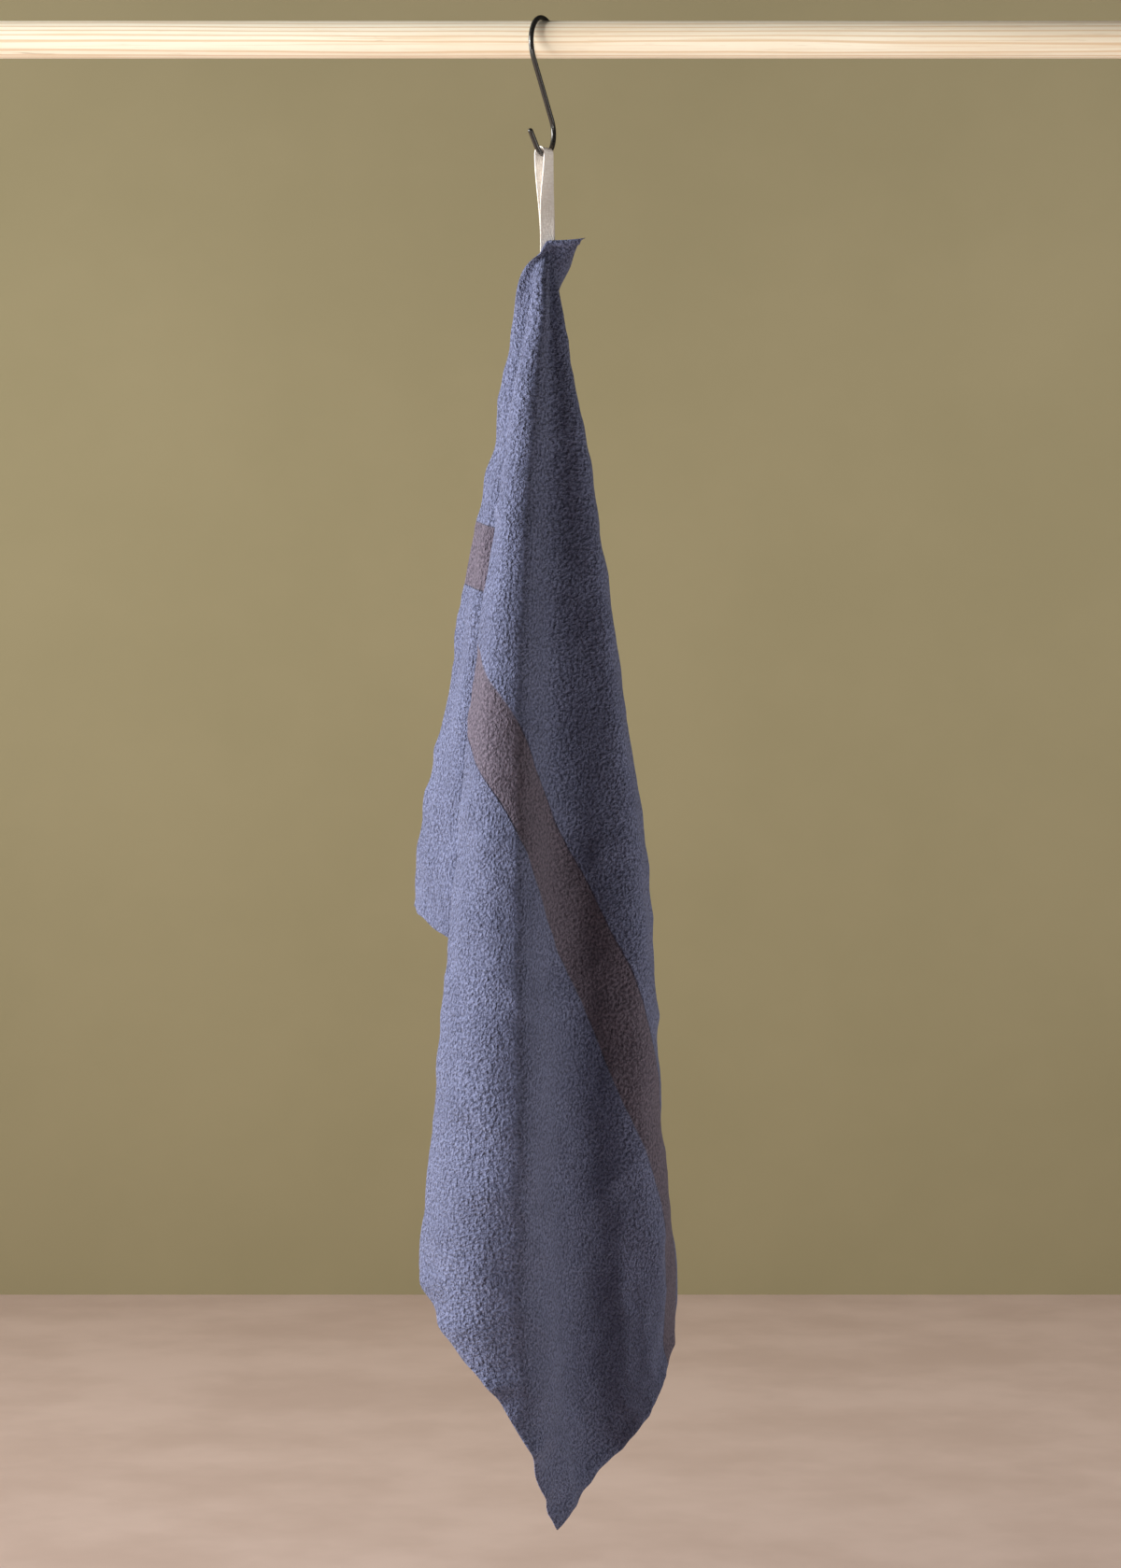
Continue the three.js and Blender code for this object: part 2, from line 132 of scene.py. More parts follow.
# Level by level: depth below the sewn spot, half width to the left and right, share of the back, and how
# far the front ridge leans to the right.
LEVELS = [
    (0, 4, 3, 0.05, 0), (50, 14.8, 10.8, 0.15, 0), (100, 21.5, 19.5, 0.25, -1.5), (170, 32.3, 32, 0.38, -4),
    (300, 50, 51.4, 0.66, -5), (450, 64, 71, 1, -2), (600, 77.5, 78, 1.25, 4.5), (700, 88.5, 86.5, 1.36, 3),
    (760, 86, 84.5, 1.4, 5), (820, 94, 104, 1.44, 5.5), (900, 104, 140, 1.48, 7),
]
RIDGE = {"from": 43.5, "left": 52, "right": 54, "to": 63}

# The strip between the sewn spot and the near corner: length down the edge, then side, back and up.
EAR_FLAT = (9, 40)
EAR = [
    (0, 0.93, -0.05, 0.07), (7, 0.62, 0.02, 0.15), (18, 0.34, 0.6, 0.14), (36, -0.05, 0.95, 0.1),
    (90, 0, 1, 0), (250, -0.4, 0.9, 0), (450, -0.7, 0.7, 0), (760, -0.8, 0.6, 0),
]

# Fold edges that move along the cloth near the hem: angle moved, from, peak, to, above, below.
DRIFT = [(4.3, 28, 46, 60, 420, 720), (4.5, 63, 75, 88, 620, 780)]
FLARE = {"side": 6, "above": 300, "below": 450, "angle": 9}
SWING = {"side": 7, "back": 34, "above": 570, "below": 900}
# Sections of the neck right under the sewn spot: angle, then side and back at each depth.
NECK_DEPTHS = (8, 23, 52)
NECK_BLEND = (95, 140)
NECK_FAN = 0.9
NECK = [
    (0, -5, 0, -15.8, 7, -24, 14), (6, -4.2, 0, -14, 5, -19.5, 9.5), (12.6, -3.4, 0, -12, 3, -14, 6),
    (20, -2.6, 0, -10, 1, -8.5, 4.6), (26.6, -1.9, 0, -8.6, -1, -4.4, 2),
    (35, -1.1, 0, -7.6, -3, -9.3, -0.6), (43.4, -0.4, 0, -6, -4.6, -13.6, -2.6),
    (48, 0, 0, -4.3, -5.8, -10, -7.4), (52, 0.4, 0, -1.8, -6.2, -2.4, -10.6),
    (56, 0.8, 0, -0.2, -4, 0.1, -6.4), (60, 1.2, 0, 0.6, -0.6, 1.2, -0.6),
    (65, 1.7, 0, 1.8, 0.8, 4.2, 0), (72.5, 2.4, 0, 4, 0.8, 10.6, 2), (80, 3, 0, 5.4, 2.2, 10.6, 6),
    (90, 3.6, 0, 6.4, 4, 6.5, 8.5),
]

# Uneven surface of the washed cloth: cell along the width and the length, height, seed.
RIPPLES = [(34, 34, 0.75, 3), (15, 15, 0.5, 4), (7.5, 7.5, 0.26, 5)]
CRUMPLES = [(27, 33, 0.55, 8), (46, 61, 0.7, 9)]
CRUMPLE_SHARP = 3
CRUMPLE_SLANT = 0.4
DRAPE_RIPPLE = {"angle": 2.6, "length": 150, "height": 1.1, "seed": 12, "fade": (80, 320)}
CALM_NEAR_SEWN = (12, 110)

# Steps in which the length of cloth down the hanging lines is added up, finer in the neck.
LINE_COUNT = 361
NECK_STEP = 1.0
NECK_END = 100
HANG_STEP = 4.0
HANG_END = 904
LENGTH_STEP = 2.0
LENGTH_END = 900
LAST_CELL = 1.001

# Camera: it looks level along +Y, and one photograph pixel at the rail's plane is SCALE wide.
SCALE = 0.634
FRAME_HEIGHT_PX = 1679
RAIL_PX = 42.5
CAMERA_BACK = 2200
SENSOR = 36
CLIP_END = 50

FLOOR_Z = -1640
BACKDROP_Y = 5000
STAGE_HALF = 7000

# Area lights in metres and watts: name, place, target, size, power, colour, spread in degrees.
DAYLIGHT = (1.0, 0.98, 0.95)
RAIL_LIGHT = (1.0, 0.97, 0.93)
FILL_LIGHT = (1.0, 0.95, 0.88)
WALL_LIGHT = (1.0, 0.97, 0.92)
LIGHTS = [
    ("key", (-2.3, -0.25, 0.1), (0, 0, -0.6), (1.5, 1.5), 145, DAYLIGHT, 180),
    ("rail", (0, -0.9, -0.5), (0, 0, -0.03), (1.6, 0.06), 0.25, RAIL_LIGHT, 13),
    ("rail_side", (-1.03, -0.62, 0.1), (0, 0, 0), (0.5, 0.06), 0.16, RAIL_LIGHT, 12),
    ("fill", (1.05, -0.15, -0.72), (0, 0, -0.62), (0.8, 0.8), 2.6, FILL_LIGHT, 100),
    ("wall", (-2.2, 2.6, 0.8), (-0.88, 5, -0.4), (1.5, 1.5), 48, WALL_LIGHT, 180),
    ("wall", (2.2, 2.6, 0.8), (0.88, 5, -0.4), (1.5, 1.5), 27, WALL_LIGHT, 180),
]
SKY_STRENGTH = 0.065


def smooth(low, high, value):
    t = np.clip((value - low) / (high - low), 0, 1)
    return t * t * (3 - 2 * t)


def lerp(a, b, t):
    return a + (b - a) * t


def bell(distance, half):
    """A soft ridge that is 1 at no distance and fades past the half width."""
    return np.exp(-((distance / half) ** 2))


def along(rows, column, value):
    """Smooth curve through a table's rows: one column read along the first."""
    x = np.array([row[0] for row in rows], float)
    y = np.array([row[column] for row in rows], float)
    before = np.maximum(np.arange(len(x)) - 1, 0)
    after = np.minimum(np.arange(len(x)) + 1, len(x) - 1)
    slope = (y[after] - y[before]) / (x[after] - x[before])
    value = np.clip(value, x[0], x[-1])
    i = np.clip(np.searchsorted(x, value, side="right") - 1, 0, len(x) - 2)
    h = x[i + 1] - x[i]
    t = (value - x[i]) / h
    s = 1 - t
    ends = (1 + 2 * t) * s * s * y[i] + t * t * (3 - 2 * t) * y[i + 1]
    return ends + h * t * s * (s * slope[i] - t * slope[i + 1])


def noise(x, y, seed):
    """Smooth noise from -1 to 1 with a new value in each unit cell."""
    size = 128
    values = np.random.default_rng(seed).uniform(-1, 1, (size, size))
    i = np.floor(x).astype(int)
    j = np.floor(y).astype(int)
    fx = smooth(0, 1, x - i)
    fy = smooth(0, 1, y - j)
    a = lerp(values[i % size, j % size], values[(i + 1) % size, j % size], fx)
    b = lerp(values[i % size, (j + 1) % size], values[(i + 1) % size, (j + 1) % size], fx)
    return lerp(a, b, fy)


def make_object(name, points, faces, material, flat=None):
    """A smooth-shaded mesh in metres from points in millimetres; flat gives each point's UV."""
    mesh = bpy.data.meshes.new(name)
    mesh.from_pydata((np.asarray(points) * MM).tolist(), [], [list(map(int, f)) for f in faces])
    mesh.polygons.foreach_set("use_smooth", np.ones(len(mesh.polygons), bool))
    if flat is not None:
        corner = np.zeros(len(mesh.loops), np.int32)
        mesh.loops.foreach_get("vertex_index", corner)
        layer = mesh.uv_layers.new(name="flat")
        layer.data.foreach_set("uv", (np.asarray(flat)[corner] * MM).astype(np.float32).ravel())
    mesh.materials.append(material)
    mesh.update()
    obj = bpy.data.objects.new(name, mesh)
    bpy.context.scene.collection.objects.link(obj)
    return obj


# Materials


class Nodes:
    """Short hand for one material's node tree with a Principled shader."""

    def __init__(self, name):
        self.material = bpy.data.materials.new(name)
        self.material.use_nodes = True
        self.tree = self.material.node_tree
        self.shader = self.tree.nodes["Principled BSDF"]

    def add(self, kind, settings=None, **inputs):
        node = self.tree.nodes.new(kind)
        for key, value in (settings or {}).items():
            setattr(node, key, value)
        for key, value in inputs.items():
            self.feed(node.inputs[key.replace("_", " ")], value)
        return node

    def feed(self, socket, value):
        if isinstance(value, bpy.types.NodeSocket):
            self.tree.links.new(value, socket)
        else:
            socket.default_value = value

    def set(self, **inputs):
        for key, value in inputs.items():
            self.feed(self.shader.inputs[key.replace("_", " ")], value)

    def place(self, output, scale, shift=(0, 0, 0)):
        coordinates = self.add("ShaderNodeTexCoord").outputs[output]
        mapping = self.add("ShaderNodeMapping", Vector=coordinates, Scale=scale, Location=shift)
        return mapping.outputs["Vector"]

    def noise(self, vector, scale, detail=3.0, roughness=0.55, distortion=0.0):
        node = self.add(
            "ShaderNodeTexNoise", Vector=vector, Scale=scale,
            Detail=detail, Roughness=roughness, Distortion=distortion,
        )
        return node.outputs["Fac"]

    def spread(self, value, low, high, to_low=0.0, to_high=1.0):
        node = self.add("ShaderNodeMapRange", {"interpolation_type": "SMOOTHSTEP"}, Value=value)
        for key, number in (("From Min", low), ("From Max", high), ("To Min", to_low), ("To Max", to_high)):
            self.feed(node.inputs[key], number)
        return node.outputs["Result"]

    def math(self, operation, a, b):
        node = self.add("ShaderNodeMath", {"operation": operation})
        self.feed(node.inputs[0], a)
        self.feed(node.inputs[1], b)
        return node.outputs[0]

    def mix(self, factor, a, b, blend="MIX"):
        node = self.add("ShaderNodeMix", {"data_type": "RGBA", "blend_type": blend})
        self.feed(node.inputs[0], factor)
        self.feed(node.inputs[6], a)
        self.feed(node.inputs[7], b)
        return node.outputs[2]

    def bump(self, height, distance, strength=1.0, normal=None):
        node = self.add("ShaderNodeBump", Height=height, Distance=distance, Strength=strength)
        if normal is not None:
            self.feed(node.inputs["Normal"], normal)
        return node.outputs["Normal"]


def rgb(red, green, blue):
    return (red, green, blue, 1.0)


BLUE = rgb(0.122, 0.142, 0.256)
BLUE_PALE = rgb(0.187, 0.215, 0.370)
BLUE_DEEP = rgb(0.060, 0.069, 0.134)
BLUE_FLECK = rgb(0.290, 0.320, 0.490)
BAND = rgb(0.062, 0.052, 0.076)
BAND_PALE = rgb(0.142, 0.120, 0.166)


def linen_material():
    n = Nodes("washed_linen")
    flat = n.add("ShaderNodeTexCoord").outputs["UV"]
    crinkle = n.noise(n.place("Object", (400, 400, 150)), 1.0, 2.5, 0.55)
    pebble = n.noise(flat, 460, 2.0, 0.55)
    grain = n.noise(flat, 900, 2.0, 0.6)
    warp = n.noise(n.place("UV", (1100, 130, 1)), 1.0, 2.0)
    weft = n.noise(n.place("UV", (130, 1100, 1)), 1.0, 2.0)
    patch = n.noise(flat, 26, 3.0, 0.6)
    threads = n.math("ADD", warp, weft)
    across = n.add("ShaderNodeSeparateXYZ", Vector=flat).outputs["X"]
    wander = n.math("MULTIPLY", n.noise(n.place("UV", (300, 90, 1)), 1.0, 1.0), 0.0012)
    across = n.math("ADD", across, wander)
    edge = 0.0009
    low = n.spread(across, BAND_FROM * MM - edge, BAND_FROM * MM + edge)
    high = n.spread(across, BAND_TO * MM - edge, BAND_TO * MM + edge, 1.0, 0.0)
    band = n.math("MULTIPLY", low, high)
    blue = n.mix(n.spread(pebble, 0.38, 0.62), BLUE_DEEP, BLUE_PALE)
    blue = n.mix(n.spread(threads, 0.7, 1.3, 0.0, 0.3), blue, BLUE)
    blue = n.mix(n.spread(grain, 0.5, 0.7, 0.0, 0.6), blue, BLUE_FLECK)
    blue = n.mix(n.spread(patch, 0.3, 0.7, 0.0, 0.3), blue, BLUE_DEEP)
    warm = n.mix(n.spread(pebble, 0.34, 0.66), BAND, BAND_PALE)
    n.set(Base_Color=n.mix(band, blue, warm), Roughness=n.spread(grain, 0.3, 0.7, 0.82, 0.98))
    calm = n.spread(band, 0, 1, 1.0, 0.6)
    coarse = n.bump(n.math("MULTIPLY", crinkle, calm), 0.0023, 1.0)
    medium = n.bump(n.math("MULTIPLY", pebble, calm), 0.0034, 1.0, coarse)
    fine = n.bump(threads, 0.0003, 0.7, medium)
    n.set(Normal=n.bump(grain, 0.0004, 0.6, fine))
    n.shader.inputs["Sheen Weight"].default_value = 0.12
    n.shader.inputs["Sheen Roughness"].default_value = 0.6
    n.shader.inputs["Specular IOR Level"].default_value = 0.15
    return n.material


def tape_material():
    n = Nodes("woven_tape")
    flat = n.add("ShaderNodeTexCoord").outputs["UV"]
    ribs = n.noise(n.place("UV", (260, 1500, 1)), 1.0, 2.0)
    threads = n.noise(n.place("UV", (1500, 260, 1)), 1.0, 2.0)
    weave = n.math("ADD", ribs, threads)
    soil = n.noise(flat, 60, 3.0)
    colour = n.mix(n.spread(weave, 0.75, 1.25), rgb(0.80, 0.74, 0.68), rgb(0.93, 0.90, 0.86))
    colour = n.mix(n.spread(soil, 0.45, 0.8, 0.0, 0.25), colour, rgb(0.58, 0.51, 0.43))
    n.set(Base_Color=colour, Roughness=n.spread(weave, 0.7, 1.3, 0.75, 0.92))
    n.set(Normal=n.bump(weave, 0.0004, 0.8))
    n.shader.inputs["Specular IOR Level"].default_value = 0.2
    return n.material


def wire_material():
    n = Nodes("black_wire")
    place = n.add("ShaderNodeTexCoord").outputs["Object"]
    speck = n.noise(place, 900, 3.0)
    rub = n.noise(place, 160, 4.0, 0.65)
    colour = n.mix(n.spread(rub, 0.62, 0.8, 0.0, 0.6), rgb(0.012, 0.0115, 0.010), rgb(0.045, 0.042, 0.036))
    n.set(Base_Color=colour, Roughness=n.spread(rub, 0.3, 0.75, 0.24, 0.42))
    n.set(Normal=n.bump(speck, 0.00008, 0.5))
    n.shader.inputs["Coat Weight"].default_value = 0.25
    n.shader.inputs["Coat Roughness"].default_value = 0.2
    return n.material


def pine_material():
    n = Nodes("pine")
    rings = n.add(
        "ShaderNodeTexWave", {"wave_type": "RINGS", "rings_direction": "X"},
        Vector=n.place("Object", (6, 95, 95), (0.4, 1.5, 1.1)),
        Scale=1.0, Distortion=5.0, Detail=2.0, Detail_Scale=0.5,
    ).outputs["Fac"]
    sway = n.noise(n.place("Object", (4, 30, 30)), 1.0, 2.0)
    streak = n.noise(n.place("Object", (7, 520, 520)), 1.0, 4.0, 0.6, 0.4)
    pores = n.noise(n.place("Object", (40, 1100, 1100)), 1.0, 2.0)
    fleck = n.noise(n.place("Object", (22, 240, 240)), 1.0, 3.0, 0.6, 0.8)
    pale = rgb(0.85, 0.79, 0.65)
    late = rgb(0.68, 0.49, 0.30)
    brown = rgb(0.44, 0.29, 0.17)
    colour = n.mix(n.spread(rings, 0.6, 1.0, 0.0, 0.8), pale, late)
    colour = n.mix(n.spread(streak, 0.5, 0.72, 0.0, 0.5), colour, late)
    colour = n.mix(n.spread(sway, 0.45, 0.7, 0.0, 0.25), colour, late)
    colour = n.mix(n.spread(fleck, 0.66, 0.78, 0.0, 0.6), colour, brown)
    colour = n.mix(n.spread(pores, 0.62, 0.8, 0.0, 0.3), colour, brown)
    n.set(Base_Color=colour, Roughness=n.spread(streak, 0.3, 0.7, 0.52, 0.7))
    n.set(Normal=n.bump(pores, 0.0002, 0.4, n.bump(streak, 0.0003, 0.5)))
    n.shader.inputs["Specular IOR Level"].default_value = 0.3
    return n.material


def stage_material(name, low, high, scale):
    n = Nodes(name)
    spots = n.noise(n.add("ShaderNodeTexCoord").outputs["Object"], scale, 4.0, 0.6)
    n.set(Base_Color=n.mix(n.spread(spots, 0.3, 0.7), low, high), Roughness=0.9)
    n.set(Normal=n.bump(spots, 0.002, 0.2))
    return n.material


# Rail


def rail():
    radius = RAIL_DIAMETER / 2
    half = RAIL_LENGTH / 2
    quarter = np.radians(np.linspace(0, 90, RAIL_EDGE_STEPS))
    rim = [(-half + RAIL_EDGE * (1 - math.cos(a)), radius - RAIL_EDGE * (1 - math.sin(a))) for a in quarter]
    inner = np.linspace(-half + RAIL_EDGE, half - RAIL_EDGE, round(RAIL_LENGTH / RAIL_STEP) + 1)[1:-1]
    profile = rim + [(x, radius) for x in inner] + [(-x, r) for x, r in rim[::-1]]
    turn = np.linspace(0, 2 * math.pi, RAIL_SIDES, endpoint=False)
    w = RAIL_WOBBLE
    points = []
    for x, r in profile:
        round_rod = w["around"] * np.cos(turn) + w["start"]
        wobble = w["depth"] * noise(np.full(RAIL_SIDES, x / w["length"]), round_rod, w["seed"])
        reach = r + (wobble if r == radius else 0)
        points.append(np.stack([np.full(RAIL_SIDES, x), reach * np.cos(turn), reach * np.sin(turn)], 1))
    rings = len(points)
    faces = tube_faces(rings, RAIL_SIDES)
    first = list(range(RAIL_SIDES))
    last = [(rings - 1) * RAIL_SIDES + k for k in range(RAIL_SIDES)]
    return make_object("pine_rail", np.concatenate(points), faces + [first[::-1], last], pine_material())


def tube_faces(rings, sides):
    faces = []
    for r in range(rings - 1):
        for k in range(sides):
            a = r * sides + k
            b = r * sides + (k + 1) % sides
            faces.append((a, b, b + sides, a + sides))
    return faces


# Hook


def hook_line():
    """Centre line of the hook in its own plane, along the plane and up, with its headings."""
    top = RAIL_DIAMETER / 2 + SEAT_GAP + WIRE_DIAMETER / 2
    upper = np.array([0, top - UPPER_BEND])
    lower = np.array([0, LOWER_BEND - HOOK_DROP])
    tilt = math.degrees(math.asin((UPPER_BEND + LOWER_BEND) / (upper[1] - lower[1])))
    line = []
    bends = ((upper, UPPER_BEND, UPPER_END_ANGLE, 180 + tilt), (lower, LOWER_BEND, tilt, LOWER_END_ANGLE))
    for centre, radius, start, stop in bends:
        for a in np.radians(np.linspace(start, stop, round(abs(stop - start) / BEND_STEP) + 1)):
            line.append(centre + radius * np.array([math.cos(a), math.sin(a)]))
    out = math.radians(LOWER_END_ANGLE)
    tip = line[-1]
    for share in TIP_STEPS:
        line.append(tip + share * TIP_LENGTH * np.array([math.sin(out), -math.cos(out)]))
    line = np.array(line)
    heading = np.gradient(line, axis=0)
    return line, heading / np.linalg.norm(heading, axis=1, keepdims=True)


def hook():
    line, heading = hook_line()
    radius = WIRE_DIAMETER / 2
    stations = [(p, h, radius) for p, h in zip(line, heading)]
    for degrees in DOME_ANGLES:
        out = radius * math.sin(math.radians(degrees))
        size = radius * math.cos(math.radians(degrees))
        stations.insert(0, (line[0] - out * heading[0], heading[0], size))
        stations.append((line[-1] + out * heading[-1], heading[-1], size))
    turn = math.radians(HOOK_TURN)
    plane = np.array([math.cos(turn), math.sin(turn), 0])
    up = np.array([0, 0, 1])
    across = np.cross(plane, up)
    around = np.linspace(0, 2 * math.pi, WIRE_SIDES, endpoint=False)[:, None]
    points = []
    for p, h, size in stations:
        middle = np.array([HOOK_SIDE, 0, 0]) + p[0] * plane + p[1] * up
        outward = -h[1] * plane + h[0] * up
        points.append(middle + size * (np.cos(around) * outward + np.sin(around) * across))
    rings = len(points)
    first = list(range(WIRE_SIDES))
    last = [(rings - 1) * WIRE_SIDES + k for k in range(WIRE_SIDES)]
    faces = tube_faces(rings, WIRE_SIDES) + [first[::-1], last]
    return make_object("wire_hook", np.concatenate(points), faces, wire_material())


# Tape


def tape_path():
    """Middle line of the tape and its crosswise direction: up the front, over the wire, down the back."""
    top = TAPE_RISE - HOOK_DROP - TAPE_ROUND
    low = -SEWN_DROP - TAPE_SEWN
    turn = math.radians(HOOK_TURN)
    side_top = HOOK_SIDE + TAPE_ALONG_WIRE * math.cos(turn)
    back_top = TAPE_ALONG_WIRE * math.sin(turn)
    end_back = SOLID_CLOTH_THICK / 2 + SEAT_GAP + SOLID_TAPE_THICK + TAPE_END_GAP / 2
    down = np.linspace(1, 0, TAPE_STEPS + 1)
    over = np.linspace(0, math.pi, TAPE_STEPS // 2 + 1)[1:-1]
    apart = np.concatenate([np.ones(len(down)), np.cos(over), -np.ones(len(down))])
    share = np.concatenate([down, np.zeros(len(over)), down[::-1]])
    arch = np.concatenate([0 * down, np.sin(over), 0 * down])
    hang = smooth(0, (top + SEWN_DROP) / (top - low), share)
    angle = np.radians(lerp(TAPE_TURN_TOP, TAPE_TURN_LOW, hang))
    around = TAPE_ROUND + TAPE_THICK / 2
    half = lerp(around, (SOLID_TAPE_THICK + TAPE_END_GAP) / 2, hang) * apart
    z = lerp(top, low, share) + around * arch
    x = lerp(side_top, TAPE_SIDE_LOW, hang) + np.sin(angle) * half
    y = lerp(back_top, end_back, hang) - np.cos(angle) * half
    wide = np.stack([np.cos(angle), np.sin(angle), 0 * angle], 1)
    return np.stack([x, y, z], 1), wide


def tape():
    centre, wide = tape_path()
    heading = np.gradient(centre, axis=0)
    face = np.cross(wide, heading)
    face /= np.linalg.norm(face, axis=1, keepdims=True)
    run = np.concatenate([[0], np.cumsum(np.linalg.norm(np.diff(centre, axis=0), axis=1))])
    upper = [(-w, t) for w, t in TAPE_SECTION[:0:-1]] + TAPE_SECTION
    section = upper + [(w, -t) for w, t in upper[::-1]]
    points, flat = [], []
    for k in range(len(centre)):
        for w, t in section:
            points.append(centre[k] + w * TAPE_WIDTH / 2 * wide[k] + t * TAPE_THICK / 2 * face[k])
            flat.append((w * TAPE_WIDTH / 2, run[k]))
    sides = len(section)
    faces = [f[::-1] for f in tube_faces(len(centre), sides)]
    first = list(range(sides))
    last = [(len(centre) - 1) * sides + k for k in range(sides)]
    obj = make_object("woven_tape", points, faces + [first, last[::-1]], tape_material(), flat)
    return obj, run[-1] * MM


# Towel


def folded_section(angle, depth):
    """Side and back of the folded bundle on hanging lines at depths below the sewn spot."""
    read = angle + 0 * depth
    for moved, start, peak, stop, above, below in DRIFT:
        near = smooth(start, peak, angle) * (1 - smooth(peak, stop, angle))
        read = read - moved * near * smooth(above, below, depth)
    share = along(FOLDS, 1, read)
    half = np.where(share < 0, along(LEVELS, 1, depth), along(LEVELS, 2, depth))
    flare = FLARE["side"] * smooth(FLARE["above"], FLARE["below"], depth)
    flare = flare * (1 - smooth(0, FLARE["angle"], angle))
    swing = smooth(SWING["above"], SWING["below"], depth)
    ridge = smooth(RIDGE["from"], RIDGE["left"], read) * (1 - smooth(RIDGE["right"], RIDGE["to"], read))
    side = share * half - flare + SWING["side"] * swing + along(LEVELS, 4, depth) * ridge
    back = along(FOLDS, 2, read) * along(LEVELS, 3, depth) + SWING["back"] * swing
    return np.stack([side, back], -1)


def fold_point(angle, depth):
    """Points of the cloth on hanging lines at depths below the sewn spot."""
    angle, depth = np.broadcast_arrays(np.asarray(angle, float), np.asarray(depth, float))
    place = folded_section(angle, depth)
    depths = NECK_DEPTHS + NECK_BLEND
    sections = [
        np.stack([along(NECK, 2 * k + 1, angle), along(NECK, 2 * k + 2, angle)], -1)
        for k in range(len(NECK_DEPTHS))
    ]
    sections += [folded_section(angle, np.full_like(depth, d)) for d in NECK_BLEND]
    place = np.where((depth < depths[-1])[..., None], between(depths, sections, depth), place)
    near = np.clip(depth / depths[0], 0, 1)
    place = place * np.stack([near ** NECK_FAN, near], -1)
    return np.stack([SEWN_SIDE + place[..., 0], place[..., 1], -SEWN_DROP - depth], -1)


def between(depths, sections, depth):
    """Smooth run through sections that are given at rising depths."""
    last = len(depths) - 1
    slopes = []
    for k in range(last + 1):
        i, j = max(k - 1, 0), min(k + 1, last)
        slopes.append((sections[j] - sections[i]) / (depths[j] - depths[i]))
    found = sections[0]
    for k in range(last):
        h = depths[k + 1] - depths[k]
        t = np.clip((depth - depths[k]) / h, 0, 1)[..., None]
        s = 1 - t
        ends = (1 + 2 * t) * s * s * sections[k] + t * t * (3 - 2 * t) * sections[k + 1]
        curve = ends + h * t * s * (s * slopes[k] - t * slopes[k + 1])
        found = np.where((depth >= depths[k])[..., None], curve, found)
    return found


def hung_points(angle, length):
    """Points at given lengths of cloth down the hanging lines of given angles."""
    angles = np.linspace(0, 90, LINE_COUNT)
    depths = np.concatenate([np.arange(0, NECK_END, NECK_STEP), np.arange(NECK_END, HANG_END, HANG_STEP)])
    lines = fold_point(angles[:, None], depths[None, :])
    steps = np.linalg.norm(np.diff(lines, axis=1), axis=2)
    runs = np.concatenate([np.zeros((len(angles), 1)), np.cumsum(steps, axis=1)], 1)
    lengths = np.arange(0, LENGTH_END, LENGTH_STEP)
    table = np.stack([np.interp(lengths, run, depths) for run in runs])
    a = np.clip(angle / angles[1], 0, len(angles) - LAST_CELL)
    r = np.clip(length / lengths[1], 0, len(lengths) - LAST_CELL)
    i, j = a.astype(int), r.astype(int)
    near = lerp(table[i, j], table[i, j + 1], r - j)
    far = lerp(table[i + 1, j], table[i + 1, j + 1], r - j)
    return fold_point(angle, lerp(near, far, a - i))


def cloth_surface(u, v):
    """The hung place of each point of the flat cloth; u runs from the near corner, v down the long edge."""
    past = np.maximum(u - SEWN_FROM_CORNER, 0)
    angle = np.degrees(np.arctan2(v, np.maximum(past, 1e-9)))
    angle = np.where(past > 0, angle, 90.0)
    length = np.where(past > 0, np.hypot(v, past), v)
    points = hung_points(angle, length)
    strip = np.maximum(SEWN_FROM_CORNER - u, 0)
    heading = np.stack([along(EAR, c, v) for c in (1, 2, 3)], -1)
    flat = (1 - smooth(*EAR_FLAT, v)) * (1 - strip / SEWN_FROM_CORNER)
    heading = lerp(heading, np.array([1.0, 0, 0]), flat[..., None])
    return points + strip[..., None] * heading, angle, length


def cloth_lines(length):
    """Grid lines across the flat cloth: listed in the hems, even between them."""
    first, last = HEM_LINES[-1], length - HEM_LINES[-1]
    inner = np.linspace(first, last, round((last - first) / GRID_STEP) + 1)
    hem = np.array(HEM_LINES[:-1], float)
    return np.concatenate([hem, inner, length - hem[::-1]])


def unevenness(u, v, angle, length):
    """Height of the washed cloth's ripples and crumples."""
    height = np.zeros_like(u)
    for across, down, size, seed in RIPPLES:
        height += size * noise(u / across, v / down, seed)
    for across, down, size, seed in CRUMPLES:
        crease = np.abs(noise(u / across + CRUMPLE_SLANT * v / down, v / down, seed))
        height += size * (1 - CRUMPLE_SHARP * crease)
    d = DRAPE_RIPPLE
    drape = d["height"] * noise(angle / d["angle"], length / d["length"], d["seed"])
    height += drape * smooth(*d["fade"], length)
    return height * smooth(*CALM_NEAR_SEWN, length)


def blunt_tip(off_low, off_long):
    """Moves of the cloth near its lowest corner, from the distances to the two hems that meet there."""
    away = np.maximum(off_low, off_long)
    apart = np.clip((off_low - off_long) / TIP["turn"], -1, 1)
    side = TIP["wide"] * apart * (1 - smooth(TIP["from"], TIP["to"], away))
    lift = TIP["lift"] * (1 - smooth(0, TIP["lifted"], away))
    return np.stack([side, 0 * side, lift], -1)


def pucker_hem(inset, run, inward, seed, calm):
    """Height of one hem's chance puckers, and the moves of its scalloped edge."""
    p = PUCKER
    near = (1 - smooth(0, p["reach"], inset)) * calm
    wander = p["wander"] * noise(run / p["wander_period"], 0 * run, seed + WANDER_SEED)
    wave = noise(run / p["period"] + wander, inset / p["fade"], seed)
    scallop = SCALLOP["depth"] * near * noise(run / SCALLOP["period"], 0 * run, seed + SCALLOP_SEED)
    return p["height"] * near * wave, scallop[..., None] * inward


